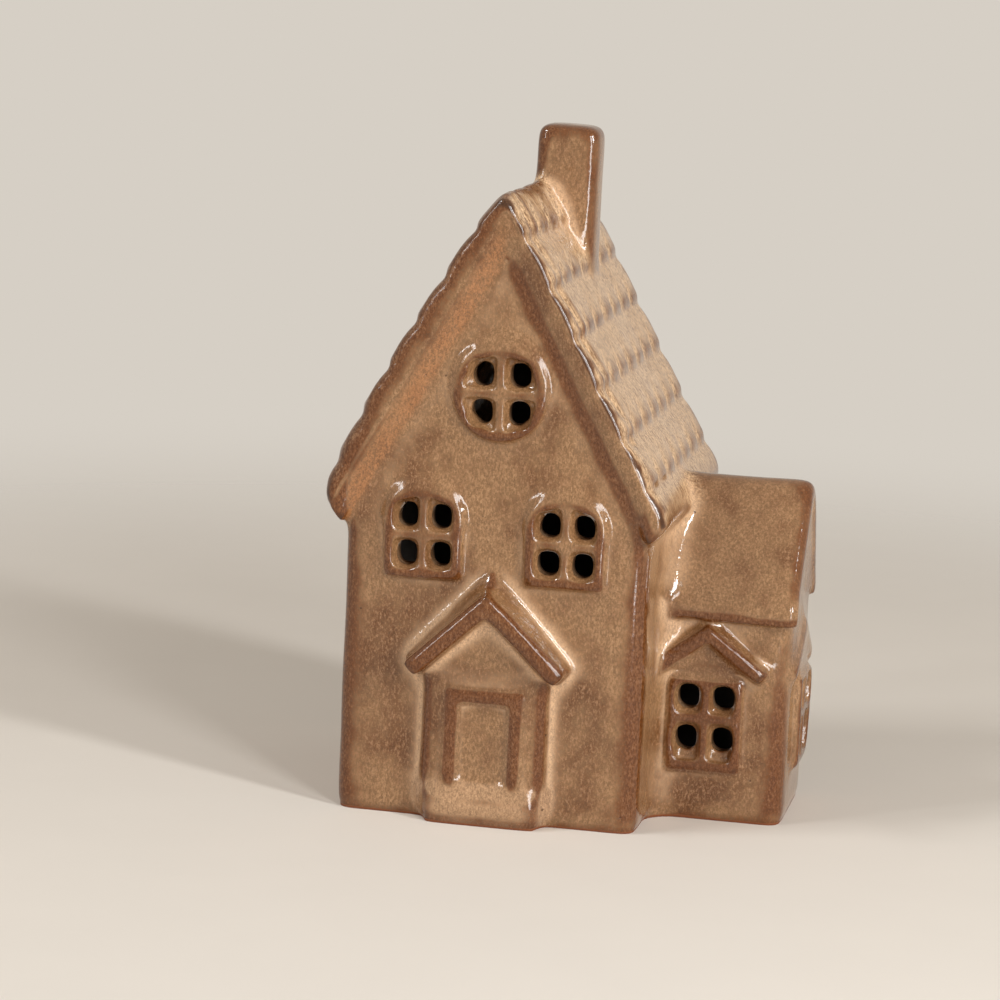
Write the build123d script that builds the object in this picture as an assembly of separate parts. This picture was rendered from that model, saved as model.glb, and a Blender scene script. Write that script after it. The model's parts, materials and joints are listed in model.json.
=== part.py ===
from build123d import *
import os
from math import atan2, cos, degrees, hypot, radians, sin, sqrt, tan

# A glazed stoneware tealight house. Lengths in millimetres, angles in degrees, shares without unit.
# The house is drawn with the middle of its front wall line at x = 0, y = 0, its foot on z = 0, the front
# towards -Y and the wing towards +X. At the end all pieces move so that the origin is the middle of the foot.

# Walls of the main house
house_width = 71.2
house_depth = 76.0
wall = 5.0
floor = 5.0
corner_radius = 4.0
through = 20.0  # overrun of cuts past the faces they open

# Main roof, measured along and across its slope
eave_half_width = 40.6
eave_height = 73.0
roof_pitch = 61.15
tile_depth = 2.6
board_depth = 4.6
verge = 3.5
tile_setback = 2.0
lowest_course = 9.0
course_count = 7
course_bulge = 0.9
left_bow = 3.2
ridge_radius = 2.5
eave_slant_share = 0.37

# Chimney
chimney_width = 15.0
chimney_depth = 12.0
chimney_left = 2.4
chimney_front = 38.0
chimney_root = 112.0
chimney_top = 158.4
chimney_edge = 2.4

# Wing on the right
wing_width = 31.0
wing_depth = 36.0
wing_setback = 20.0
wing_eave_height = 52.0
wing_ridge_height = 83.5
wing_roof_depth = 4.0
wing_eave = 2.5
wing_verge = 1.5
wing_wall_share = 0.8  # how deep in the roof's thickness the wing walls end
wing_ridge_radius = 5.0
wing_end_radius = 2.4
corner_fill = 6.0

# Windows
pane_width = 4.4
pane_height = 5.2
pane_corner = 1.6
pane_splay = 0.9
frame_proud = 2.4
brow_side = 1.2
brow_crown = 4.2
bar_proud = 2.0
frame_band = 2.2
round_radius = 11.0
round_height = 100.0
round_pane_step = 4.4
arch_half_width = 9.2
arch_sill = 56.5
arch_top = 77.5
arch_offset = 16.4
arch_pane_step = 4.0
arch_pane_low = 61.9
arch_pane_high = 70.6

# Gabled window of the wing
wing_window_width = 17.4
wing_window_sill = 12.0
wing_window_top = 33.5
wing_window_centre = 12.0
wing_pane_step = 4.1
wing_pane_low = 19.5
wing_pane_high = 29.4
gable_half_width = 14.4
gable_tip = 36.5
gable_apex = 47.0
gable_band = 3.4
gable_proud = 4.2
gable_cove = 2.6
end_gable_proud = 1.8

# Porch with its door
porch_half_width = 14.3
porch_proud = 4.0
canopy_half_width = 19.2
canopy_tip = 37.5
canopy_apex = 55.5
canopy_band = 4.4
canopy_proud = 9.0
canopy_cove = 3.8
door_half_width = 9.0
door_top = 32.0
door_rail = 3.0
rail_proud = 1.6
panel_recess = 0.8
step_height = 7.6
step_proud = 2.2
step_edge = 2.1

# Opening in the back wall
back_width = 46.0
back_height = 38.0
back_corner = 10.0

# Tealight
cup_radius = 19.0
cup_height = 16.0
cup_sheet = 0.4
cup_lip = 0.7
cup_y = 40.0
wax_gap = 0.3
wax_below_rim = 2.0
wick_radius = 0.8
wick_gap = 0.15
wick_above_wax = 7.0
tab_radius = 7.5
tab_sheet = 0.4
tab_neck_height = 3.5
tab_neck_sheet = 0.4

# Worked out from the sizes above
half = house_width / 2
slope_length = eave_half_width / cos(radians(roof_pitch))
course_pitch = (slope_length - lowest_course) / (course_count - 1)
roof_depth = tile_depth + board_depth
wing_right = half + wing_width
wing_middle = wing_setback + wing_depth / 2
wing_tip = wing_depth / 2 + wing_eave
wing_fall = (wing_ridge_height - wing_eave_height) / wing_tip
wing_roof_drop = wing_roof_depth * hypot(1, wing_fall)
UP = (Align.CENTER, Align.CENTER, Align.MIN)


def slope_point(along, inset):
    """Point (x, z) of the right slope: along the slope from the eave tip, inset at right angles below it."""
    x = eave_half_width - along * cos(radians(roof_pitch)) - inset * sin(radians(roof_pitch))
    z = eave_height + along * sin(radians(roof_pitch)) - inset * cos(radians(roof_pitch))
    return (x, z)


def apex_height(inset):
    """Height at which both slopes meet, inset below the tile line."""
    return eave_height + eave_half_width * tan(radians(roof_pitch)) - inset / cos(radians(roof_pitch))


def mirrored(points):
    return [(-x, z) for x, z in reversed(points)]


def upright(sketch, front, back):
    """Solid with the given x-z outline between the depths front and back."""
    return extrude(Plane.XZ.offset(-back) * sketch, back - front)


def sideways(sketch, left, right):
    """Solid with the given y-z outline between left and right."""
    return extrude(Plane.YZ.offset(left) * sketch, right - left)


def outline(points):
    return make_face(Polyline(*points, close=True))


def gable_outline(half_width, bottom, inset):
    """Wall outline under the main roof, its slopes inset below the tile line."""
    shoulder = apex_height(inset) - half_width * tan(radians(roof_pitch))
    right = [(half_width, bottom), (half_width, shoulder)]
    return outline(right + [(0, apex_height(inset))] + mirrored(right))


def eave_end(inset):
    """The eave is cut at a slant: its underside reaches further down than its top."""
    return slope_point(-eave_slant_share * inset, inset)


def bow_share(along):
    """How far the left slope bows out along its length: nothing at the eave and ridge, all in its middle."""
    share = min(max(along / slope_length, 0), 1)
    return sqrt(1 - (2 * share - 1) ** 2)


def tile_outline():
    """Roof covering in section: one shallow arc for each course, a rounded ridge, the left slope bowed."""
    starts = [-eave_slant_share * course_bulge]
    starts += [lowest_course + course * course_pitch for course in range(course_count - 1)]
    top = (0, apex_height(0))
    peak = (0, apex_height(roof_depth))
    edges = []
    for side, bow in ((1, 0), (-1, left_bow)):

        def point(along, inset):
            x, z = slope_point(along, inset - bow * bow_share(along))
            return (side * x, z)

        for low, high in zip(starts, starts[1:]):
            middle = point((low + high) / 2, 0)
            edges.append(ThreePointArc(point(low, course_bulge), middle, point(high, course_bulge)))
        foot = point(-eave_slant_share * roof_depth, roof_depth)
        edges.append(Line(point(starts[-1], course_bulge), top))
        edges.append(Line(point(starts[0], course_bulge), foot))
        edges.append(Line(foot, peak))
    face = make_face(edges)
    ridge = face.vertices().sort_by(Axis.Y)[-1]
    return fillet(ridge, ridge_radius)


def board_outline():
    """Smooth barge band in front of and behind the tiles."""
    right = [eave_end(roof_depth), eave_end(tile_depth)]
    inner = [(0, apex_height(roof_depth))]
    return outline(right + [(0, apex_height(tile_depth))] + mirrored(right) + inner)


def main_house():
    walls = upright(gable_outline(half, 0, tile_depth), 0, house_depth)
    corners = [e for e in walls.edges().filter_by(Axis.Z) if e.length > wall]
    walls = fillet(corners, corner_radius)
    boards = upright(board_outline(), -verge, house_depth + verge)
    tiles = upright(tile_outline(), tile_setback - verge, house_depth + verge - tile_setback)
    return walls + boards + tiles


def chimney():
    """Plain closed stack with soft edges, rooted in the roof behind the ridge's front end."""
    middle = Pos(chimney_width / 2 - chimney_left, chimney_front + chimney_depth / 2, chimney_root)
    stack = middle * Box(chimney_width, chimney_depth, chimney_top - chimney_root, align=UP)
    top = stack.faces().sort_by(Axis.Z)[-1].edges()
    return fillet(list(stack.edges().filter_by(Axis.Z)) + list(top), chimney_edge)


def wing_roof_line(reach):
    """Height of the wing roof at a distance from its ridge line."""
    return wing_ridge_height - reach * wing_fall


def wing_gable(reach, bottom, drop):
    """Outline of the wing in section, its slopes dropped below the roof line."""
    shoulder = wing_roof_line(reach) - drop
    ridge = (wing_middle, wing_ridge_height - drop)
    near = [(wing_middle - reach, shoulder), (wing_middle - reach, bottom)]
    far = [(wing_middle + reach, bottom), (wing_middle + reach, shoulder)]
    return outline(near + far + [ridge])


def is_on_wing_roof(edge):
    """True for an edge on the upper face of the wing roof, not on its underside."""
    spot = edge @ 0.5
    below = wing_roof_line(abs(spot.Y - wing_middle)) - spot.Z
    return below < wing_roof_drop * wing_wall_share and edge.length > wing_verge


def wing():
    walls = sideways(wing_gable(wing_depth / 2, 0, wing_roof_drop * wing_wall_share), 0, wing_right)
    outer = walls.edges().filter_by(Axis.Z).group_by(Axis.X)[-1]
    walls = fillet(outer, corner_radius)
    slab = wing_gable(wing_tip, wing_eave_height - wing_roof_depth, 0)
    under = wing_gable(wing_depth / 2, wing_eave_height - 2 * wing_roof_depth, wing_roof_drop)
    roof = sideways(slab - under, 0, wing_right + wing_verge)
    ridge = roof.edges().filter_by(Axis.X).sort_by(Axis.Z)[-1]
    roof = fillet(ridge, wing_ridge_radius)
    end = roof.faces().sort_by(Axis.X)[-1]
    return walls + fillet([e for e in end.edges() if is_on_wing_roof(e)], wing_end_radius)


def corner_strip(length):
    """Strip with a hollow rounded front that softens an inner corner, running up from z = 0."""
    strip = Box(corner_fill, corner_fill, length, align=(Align.MIN, Align.MAX, Align.MIN))
    return strip - Pos(corner_fill, -corner_fill, 0) * Cylinder(corner_fill, length, align=UP)


def inner_corners():
    """Glaze-filled corners where the wing walls and the wing roof run into the main house."""
    post = Pos(half, wing_setback, 0) * corner_strip(wing_eave_height)
    lean = degrees(atan2(1, wing_fall))
    foot = Pos(half, wing_middle - wing_tip, wing_eave_height)
    to_main_eave = (eave_height - wing_eave_height) / cos(radians(lean))
    rafter = foot * Rot(-lean, 0, 0) * corner_strip(to_main_eave)
    front = post + rafter
    return front + mirror(front, Plane.XZ.offset(-wing_middle))


def pane_cuts(step, heights):
    """Four pierced panes around x = 0, each splayed where it passes through the raised frame and bars."""
    spots = [Pos(x, z) for x in (-step, step) for z in heights]
    narrow = RectangleRounded(pane_width, pane_height, pane_corner)
    wide = offset(narrow, pane_splay)
    splays = upright(Sketch() + [spot * wide for spot in spots], -through, 0)
    return splays + upright(Sketch() + [spot * narrow for spot in spots], -through, wall + through)


def arch_outline(half_width, bottom, top):
    spring = top - half_width
    upright_part = Pos(0, (bottom + spring) / 2) * Rectangle(2 * half_width, spring - bottom)
    return upright_part + Pos(0, spring) * Circle(half_width)


def cross_bars(width, height, middle):
    return Pos(0, middle) * (Rectangle(frame_band, height) + Rectangle(width, frame_band))


def brow(half_width, spring):
    """Flare over a round head: from a larger, higher circle on the wall to the head's own front edge."""
    radius = half_width + brow_side
    upper_half = Pos(0, spring + radius) * Rectangle(4 * radius, 2 * radius)
    foot = (Pos(0, spring + brow_crown - brow_side) * Circle(radius)) & upper_half
    crest = (Pos(0, spring) * Circle(half_width)) & upper_half
    return loft([Plane.XZ * foot, Plane.XZ.offset(frame_proud) * crest])


def framed_window(plate, opening, bars, flare):
    """Raised frame around an opening, with a cross of bars and a flare above it."""
    flare -= upright(opening, -through, 0)
    return flare + upright(plate - opening, -frame_proud, wall) + upright(bars & plate, -bar_proud, wall)


def round_window():
    """Round window in the gable."""
    place = Pos(0, round_height)
    bars = cross_bars(2 * round_radius, 2 * round_radius, round_height)
    relief = framed_window(place * Circle(round_radius), place * Circle(round_radius - frame_band), bars,
                           brow(round_radius, round_height))
    cut = pane_cuts(round_pane_step, (round_height - round_pane_step, round_height + round_pane_step))
    return relief, cut


def arch_window():
    """Arched window, one on each side of the porch."""
    plate = arch_outline(arch_half_width, arch_sill, arch_top)
    opening = arch_outline(arch_half_width - frame_band, arch_sill + frame_band, arch_top - frame_band)
    bars = cross_bars(2 * arch_half_width, 2 * (arch_top - arch_sill), (arch_pane_low + arch_pane_high) / 2)
    relief = framed_window(plate, opening, bars, brow(arch_half_width, arch_top - arch_half_width))
    cut = pane_cuts(arch_pane_step, (arch_pane_low, arch_pane_high))
    return relief, cut


def chevron(half_width, tip, apex, band):
    """Pitched band of even width, its ends square to the slope."""
    pitch = atan2(apex - tip, half_width)
    right = [(half_width - band * sin(pitch), tip - band * cos(pitch)), (half_width, tip)]
    return outline(right + [(0, apex)] + mirrored(right) + [(0, apex - band / cos(pitch))])


def cove(half_width, tip, apex, rise, depth):
    """Flare above a pitched band: reaches up the wall by rise and runs out onto the band at depth."""
    pitch = atan2(apex - tip, half_width)
    top = apex + rise / cos(pitch)
    foot = outline([(half_width, tip), (0, top), (-half_width, tip)])
    crest = outline([(half_width, tip), (0, apex), (-half_width, tip)])
    return loft([Plane.XZ * foot, Plane.XZ.offset(depth) * crest])


def gabled_window(hood_reach):
    """Wing window: square frame, cross of bars, four panes and a small pitched hood."""
    height = wing_window_top - wing_window_sill
    place = Pos(0, (wing_window_top + wing_window_sill) / 2)
    plate = place * Rectangle(wing_window_width, height)
    opening = place * Rectangle(wing_window_width - 2 * frame_band, height - 2 * frame_band)
    bars = cross_bars(wing_window_width, 2 * height, (wing_pane_low + wing_pane_high) / 2)
    gable = outline([(wing_window_width / 2, wing_window_top), (0, gable_apex - gable_band),
                     (-wing_window_width / 2, wing_window_top)])
    flare = cove(gable_half_width, gable_tip, gable_apex, gable_cove, hood_reach / 2)
    relief = framed_window(plate, opening, bars, flare) + upright(gable, -bar_proud / 2, wall)
    relief += upright(chevron(gable_half_width, gable_tip, gable_apex, gable_band), -hood_reach, wall)
    cut = pane_cuts(wing_pane_step, (wing_pane_low, wing_pane_high))
    return relief, cut


def porch():
    """Shallow porch: body, pitched canopy, door rails, sunk door panel, rounded step."""
    body = outline([(porch_half_width, 0), (porch_half_width, canopy_tip), (0, canopy_apex - canopy_band),
                    (-porch_half_width, canopy_tip), (-porch_half_width, 0)])
    rails = Pos(0, door_top / 2) * Rectangle(2 * door_half_width, door_top)
    panel_top = door_top - door_rail
    panel = Pos(0, panel_top / 2) * Rectangle(2 * (door_half_width - door_rail), panel_top)
    block = upright(body, -porch_proud, wall)
    block += upright(chevron(canopy_half_width, canopy_tip, canopy_apex, canopy_band), -canopy_proud, wall)
    block += cove(canopy_half_width, canopy_tip, canopy_apex, canopy_cove, canopy_proud / 2)
    block += upright(rails, -porch_proud - rail_proud, wall)
    block -= upright(panel, -porch_proud - through, panel_recess - porch_proud)
    front = -porch_proud - step_proud
    step = upright(Pos(0, step_height / 2) * Rectangle(2 * porch_half_width, step_height), front, wall)
    top_edge = step.edges().filter_by(Axis.X).group_by(Axis.Y)[0].sort_by(Axis.Z)[-1]
    sides = step.edges().filter_by(Axis.Z).group_by(Axis.Y)[0]
    step = fillet([top_edge] + list(sides), step_edge)
    return block + step


def back_mouth():
    """Outline of the opening for the tealight, from the floor up, its upper corners round."""
    mouth = Pos(0, back_height / 2) * Rectangle(back_width, back_height)
    return fillet(mouth.vertices().group_by(Axis.Y)[-1], back_corner)


def hollow():
    """Inside of the shell: main room under the roof, wing room, the way between them, the back opening."""
    room = upright(gable_outline(half - wall, floor, roof_depth), wall, house_depth - wall)
    side = wing_gable(wing_depth / 2 - wall, floor, wing_roof_drop + wall)
    wing_room = sideways(side, half - 2 * wall, wing_right - wall)
    back = Pos(0, 0, floor) * upright(back_mouth(), house_depth - 2 * wall, house_depth + through)
    return room + wing_room + back


def house_shell():
    shell = main_house() + chimney() + wing() + inner_corners() + porch()
    cuts = [hollow()]
    relief, cut = round_window()
    shell += relief
    cuts.append(cut)
    relief, cut = arch_window()
    for side in (-1, 1):
        shell += Pos(side * arch_offset, 0, 0) * relief
        cuts.append(Pos(side * arch_offset, 0, 0) * cut)
    front = Pos(half + wing_window_centre, wing_setback, 0)
    end = Pos(wing_right, wing_middle, 0) * Rot(0, 0, 90)
    for place, hood_reach in ((front, gable_proud), (end, end_gable_proud)):
        relief, cut = gabled_window(hood_reach)
        shell += place * relief
        cuts.append(place * cut)
    for cut in cuts:
        shell -= cut
    return shell


def tealight_cup():
    outside = Cylinder(cup_radius, cup_height, align=UP)
    inside = Cylinder(cup_radius - cup_sheet, cup_height, align=UP)
    lip = Cylinder(cup_radius + cup_lip, cup_lip, align=(Align.CENTER, Align.CENTER, Align.MAX))
    cup = outside + Pos(0, 0, cup_height) * lip
    return cup - Pos(0, 0, cup_sheet) * inside


def wick_sustainer():
    disc = Cylinder(tab_radius, tab_sheet, align=UP)
    bore = wick_radius + wick_gap
    neck = Cylinder(bore + tab_neck_sheet, tab_neck_height, align=UP)
    hole = Pos(0, 0, tab_sheet) * Cylinder(bore, tab_neck_height, align=UP)
    return disc + neck - hole


def tealight_wax():
    height = cup_height - cup_sheet - wax_below_rim
    wax = Cylinder(cup_radius - cup_sheet - wax_gap, height, align=UP)
    bore = wick_radius + wick_gap
    neck = Cylinder(bore + tab_neck_sheet + wick_gap, tab_neck_height, align=UP)
    disc = Cylinder(tab_radius + wick_gap, tab_sheet, align=UP)
    hole = Cylinder(bore, height, align=UP)
    return wax - neck - disc - hole


def wick():
    wax_height = cup_height - cup_sheet - wax_below_rim
    length = wax_height - tab_sheet + wick_above_wax
    return Pos(0, 0, tab_sheet) * Cylinder(wick_radius, length, align=UP)


shell = house_shell()
middle = shell.bounding_box().center()
to_origin = Pos(-middle.X, -middle.Y, 0)
on_floor = to_origin * Pos(0, cup_y, floor)
in_cup = on_floor * Pos(0, 0, cup_sheet)
pieces = {
    "house_shell": to_origin * shell,
    "tealight_cup": on_floor * tealight_cup(),
    "tealight_wax": in_cup * tealight_wax(),
    "wick": in_cup * wick(),
    "wick_sustainer": in_cup * wick_sustainer(),
}
os.makedirs("parts", exist_ok=True)
for name, piece in pieces.items():
    export_step(piece, f"parts/{name}.step")
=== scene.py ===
import json
import math
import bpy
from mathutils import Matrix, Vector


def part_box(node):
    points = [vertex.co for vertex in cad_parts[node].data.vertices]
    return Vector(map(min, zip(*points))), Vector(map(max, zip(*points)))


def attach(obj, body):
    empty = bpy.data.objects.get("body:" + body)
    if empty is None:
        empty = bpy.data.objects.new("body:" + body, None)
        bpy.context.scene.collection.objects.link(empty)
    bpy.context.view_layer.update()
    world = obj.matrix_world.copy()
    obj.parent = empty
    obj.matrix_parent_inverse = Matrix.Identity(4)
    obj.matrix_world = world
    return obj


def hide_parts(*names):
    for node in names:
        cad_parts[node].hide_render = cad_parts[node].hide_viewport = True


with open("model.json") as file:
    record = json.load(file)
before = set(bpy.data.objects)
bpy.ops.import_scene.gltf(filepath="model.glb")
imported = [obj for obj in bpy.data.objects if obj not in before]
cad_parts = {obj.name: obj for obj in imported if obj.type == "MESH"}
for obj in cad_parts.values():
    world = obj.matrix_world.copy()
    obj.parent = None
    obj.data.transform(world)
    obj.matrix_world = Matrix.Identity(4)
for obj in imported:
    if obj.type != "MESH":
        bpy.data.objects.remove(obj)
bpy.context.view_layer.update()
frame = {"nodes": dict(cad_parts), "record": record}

from types import SimpleNamespace

import bmesh
import bpy
import numpy as np
from bpy.props import FloatProperty, FloatVectorProperty, IntProperty, PointerProperty
from mathutils import Matrix, Vector, noise
from mathutils.kdtree import KDTree

bl_info = {
    "name": "Tealight house",
    "version": (1, 0, 0),
    "blender": (4, 5, 0),
    "location": "View3D > Sidebar > Tealight house",
    "description": "Dresses a stoneware tealight house: soft glazed body, roof tiles, tealight, studio",
    "category": "Object",
}

MM = 0.001

# Nodes and settings that the materials use most.
MATH = "ShaderNodeMath"
MIX = "ShaderNodeMix"
RANGE = "ShaderNodeMapRange"
NOISE = "ShaderNodeTexNoise"
SMOOTH = {"interpolation_type": "SMOOTHSTEP"}
COLOURS = {"data_type": "RGBA"}

# Attributes of the house's skin that steer the glaze, and that mark where shade and light are painted into
# it.
GLAZE_PLACES = ("edge", "flow", "roof", "lip", "band", "run", "window", "step", "calm", "inside")

# Patterns in the glaze: size in millimetres, detail, roughness, scale along x, y and z, and swirl.
# A scale below 1 draws the pattern out along that axis.
GLAZE_PATTERNS = {
    "cloud": (22, 2.0, 0.6, (1, 1, 1), 0.0),
    "patch": (6, 4.0, 0.6, (1, 1, 0.7), 0.0),
    "grain": (0.5, 3.0, 0.7, (1, 1, 0.55), 0.4),
    "fine_grain": (0.32, 2.0, 0.6, (1, 1, 1), 0.0),
    "streak": (0.5, 4.0, 0.65, (0.22, 1, 0.22), 0.0),
    "ripple": (2.6, 1.0, 0.6, (1, 1, 1), 0.0),
    "pitting": (0.8, 2.0, 0.6, (1, 1, 1), 0.0),
}

# Unevenness left by hands: waves per metre of the panes' sides and of the walls, and how far panes differ.
PANE_WAVES = 120
WALL_WAVES = 45
PANE_SPREAD = 1.3

# A sharp edge stands out of its relaxed skin by about this share of the width it was relaxed over.
STAND_SHARE = 0.4

# Share of the hollow slope at which the roll of the roof's front edge has ended.
ROLL_END = 0.55

# The ring pressed into the cup's base, as shares of the wall's radius.
RING_SHARES = (0.55, 0.6, 0.66, 0.7)

# Soft lamps: name, place, width and height in metres, and watts. All face the middle of the house.
LAMP_TARGET = (-0.01, 0.0, 0.07)
LAMPS = (
    ("window_right", (0.8, -0.5, 0.5), 0.1, 0.5, 6.0),
    ("strip_right", (0.55, -0.75, 0.25), 0.16, 1.0, 5.6),
    ("high_left", (-0.6, -0.35, 0.85), 0.25, 0.1, 3.2),
    ("strip_left", (-0.75, -0.75, 0.5), 0.08, 0.4, 1.5),
)


def to_linear(code):
    """sRGB hex value as linear red, green, blue, alpha."""
    parts = [int(code[i:i + 2], 16) / 255 for i in (0, 2, 4)]
    return [c / 12.92 if c <= 0.04045 else ((c + 0.055) / 1.055) ** 2.4 for c in parts] + [1.0]


def length(name, millimetres, words):
    return FloatProperty(name=name, description=words, default=millimetres * MM, unit="LENGTH", precision=5)


def angle(name, degrees, words):
    return FloatProperty(name=name, description=words, default=math.radians(degrees), subtype="ANGLE")


def fraction(name, part, words):
    return FloatProperty(name=name, description=words, default=part, min=0, max=1, subtype="FACTOR")


def colour(name, code, words):
    return FloatVectorProperty(name=name, description=words, default=to_linear(code), size=4, subtype="COLOR",
                               min=0, max=1)


class HouseSizes(bpy.types.PropertyGroup):
    """Sizes of the house's surface and of the roof that the tiles lie on."""
    voxel: length("Voxel", 0.5, "Grain of the moulded surface")
    weld: length("Weld", 0.002, "Points closer than this are one point")
    softness: length("Softness", 1.5, "How far edges of the walls are rounded by casting and glaze")
    fine_softness: length("Fine softness", 0.85, "How far edges of tiles and windows are rounded")
    break_width: length("Break width", 1.4, "Width over which the glaze thins on a sharp edge")
    flow_width: length("Flow width", 3.2, "Width over which the glaze flows off edges into hollows")
    waviness: length("Waviness", 0.35, "Unevenness of the hand-finished walls")
    wave_fade: length("Wave fade", 12.0, "Height above the foot over which the waviness sets in")
    pool_share: fraction("Pool share", 0.6, "How far hollows fill up")
    slump: fraction("Slump", 0.25, "How far all edges of the walls slump in the kiln")
    eave_half_width: length("Eave half width", 40.6, "From the roof's middle to the tip of the eave")
    eave_height: length("Eave height", 73.0, "Height of the tip of the eave")
    roof_pitch: angle("Roof pitch", 61.15, "Slope of the main roof")
    left_bow: length("Left bow", 3.2, "How far the left slope bows out in its middle")
    lowest_course: length("Lowest course", 9.0, "Length of the course at the eave")
    course_pitch: length("Course pitch", 12.52, "Distance between courses up the slope")
    courses: IntProperty(name="Courses", description="Courses of separate tiles above the eave", default=6)
    tile_pitch: length("Tile pitch", 11.3, "Distance between tiles along the eave")
    tiles: IntProperty(name="Tiles", description="Tiles in a course", default=7)
    tile_margin: length("Tile margin", 2.0, "From the last tile to the back end of the roof")
    tile_gap: length("Tile gap", 0.7, "Groove between neighbouring tiles")
    tile_lap: length("Tile lap", 1.2, "Length of a course left bare above its tiles")
    tile_thick: length("Tile thickness", 3.0, "Thickness of a tile")
    tile_lift: length("Tile lift", 0.15, "How far the middle of a tile stands out of its course")
    tile_tilt: angle("Tile tilt", 4.5, "Lower edge of a tile turned outwards")
    tile_reach: length("Tile reach", 1.8, "Distance from the tile line up to which the skin is tiled")
    wall: length("Wall", 5.0, "Thickness of the walls")
    room_skin: length("Room skin", 1.5, "Distance from a room's air within which the skin is its wall")
    house_depth: length("House depth", 76.0, "From the front wall to the back wall")
    verge: length("Verge", 3.5, "How far the roof stands out in front of the wall")
    tile_depth: length("Tile depth", 2.6, "From the tile line down to the barge band")
    cove_width: length("Cove width", 8.5, "Width of the hollow slope from the barge band to the gable wall")
    wing_setback: length("Wing setback", 20.0, "From the front wall back to the wing's front wall")
    wing_eave_height: length("Wing eave height", 52.0, "Height of the wing's eave")
    wing_roof_depth: length("Wing roof depth", 4.0, "Thickness of the wing's roof at its eave")
    frame_proud: length("Frame proud", 2.4, "How far window frames stand out of the wall")
    frame_band: length("Frame band", 2.2, "Width of a window's frame")
    window_reach: length("Window reach", 6.0, "Distance from the panes within which edges stay fine")
    pane_growth: length("Pane growth", 0.85, "How far the hand-cut panes reach past their even outline")
    round_height: length("Round height", 100.0, "Height of the round window's middle")
    round_reach: length("Round reach", 8.4, "From the round window's middle to the far ends of its panes")
    arch_offset: length("Arch offset", 16.4, "From the house's middle to the middle of an arched window")
    arch_spring: length("Arch spring", 68.3, "Height at which the arched windows begin to curve")
    arch_reach: length("Arch reach", 6.8, "From the middle of an arch to the far ends of its panes")
    arch_drop: length("Arch drop", 9.6, "From the middle of an arch down to the lower ends of its panes")
    brow_reach: length("Brow reach", 6.0, "How far the brow over a window reaches past its frame")
    chimney_left: length("Chimney left", 2.4, "From the house's middle to the chimney")
    door_half_width: length("Door half width", 9.0, "From the middle of the door to the outside of its frame")
    door_height: length("Door height", 32.0, "Top of the door's frame")
    step_half_width: length("Step half width", 16.0, "From the middle of the door step to its end")
    step_height: length("Step height", 10.0, "Top of the door step's swell")
    triangles: IntProperty(name="Triangles", description="Most triangles in the body", default=180000)


class GlazeColours(bpy.types.PropertyGroup):
    """Colours of the glaze and of the clay, and the glaze's small heights."""
    taupe: colour("Taupe", "8a6644", "Glaze of even thickness")
    russet: colour("Russet", "694223", "Thinner, warmer patches of glaze")
    crystals: colour("Crystals", "aa8867", "Fine pale crystals in the glaze")
    rust: colour("Rust", "99673f", "Orange-brown glaze along the roof's front edge")
    # Breaking also paints shade in the right-hand cove and along the wing eave's lower edge.
    breaking_and_painted_shade: colour("Breaking", "62340f", "Glaze thinned over an edge")
    bare_edge: colour("Bare edge", "3a1e06", "Iron-brown line on the sharpest edges")
    pooled: colour("Pooled", "c4a07d", "Pale glaze gathered in hollows")
    runs: colour("Runs", "d0ad86", "Pale runs down the roof")
    specks: colour("Specks", "3f210b", "Iron specks and pinholes")
    clay: colour("Clay", "7d421a", "Fired clay at the foot")
    # Inside is painted shade, not a wash: the inner walls are drawn nearly black so that the rooms seen
    # through the panes look dark.
    inside: colour("Inside", "1c130c", "Thin dark wash on the inner walls")
    relief: length("Relief", 0.22, "Height of the glaze's orange peel")
    bead_height: length("Bead height", 5.0, "Height below which the glaze gathers at the foot")
    bead_full: length("Bead full", 1.0, "Height below which it has gathered fully")
    foot_height: length("Foot height", 0.3, "Height of the bare foot")
    foot_waver: length("Foot waver", 0.9, "How far the edge of the bare foot wavers")


class TealightSizes(bpy.types.PropertyGroup):
    """Sizes of the tealight, all inside its solids."""
    flutes: IntProperty(name="Flutes", description="Flutes pressed into the cup's wall", default=48)
    flute_depth: length("Flute depth", 0.16, "Depth of a flute")
    flute_start: length("Flute start", 2.0, "Height at which the flutes begin")
    flute_end: length("Flute end", 2.5, "From the end of the flutes up to the rim")
    sheet: length("Sheet", 0.3, "Thickness of the cup's sheet")
    lip: length("Lip", 0.62, "Reach of the rolled rim")
    wall_inset: length("Wall inset", 0.7, "From the outside of the rim in to the cup's wall")
    cup_bend: length("Cup bend", 1.2, "Radius from the cup's base to its wall")
    base_ring: length("Base ring", 0.25, "Height of the ring pressed into the base")
    wax_gap: length("Wax gap", 0.1, "How far the wax's wall lies inside its solid")
    wax_bend: length("Wax bend", 1.0, "Radius at the foot of the wax")
    wax_dip: length("Wax dip", 0.4, "How far the wax's top lies below its rim")
    wax_waver: length("Wax waver", 0.03, "Unevenness of the wax's upper edge")
    rim_land: length("Rim land", 0.3, "Width of the wax's flat rim")
    rim_drop: length("Rim drop", 0.02, "Fall of the wax's flat rim")
    rim_curl: length("Rim curl", 0.35, "How far the wax climbs at its rim")
    rim_reach: length("Rim reach", 1.2, "Width over which the wax climbs at its rim")
    wick_curl: length("Wick curl", 0.3, "How far the wax climbs at the wick")
    wick_reach: length("Wick reach", 0.8, "Width over which the wax climbs at the wick")
    wick_gap: length("Wick gap", 0.12, "Between the wick and the wax")
    tab_gap: length("Tab gap", 0.15, "Between the tab and its neighbours")
    tab_room: length("Tab room", 0.5, "Height of the room for the tab's disc under the wax")
    neck_room: length("Neck room", 0.75, "Width of the room for the tab's neck round the wick")
    tab_sheet: length("Tab sheet", 0.4, "Thickness of the tab's disc and neck")
    strand: length("Strand", 0.36, "Radius of a strand of the wick")
    twist: length("Twist", 3.0, "Height of one turn of the wick's strands")


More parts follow.
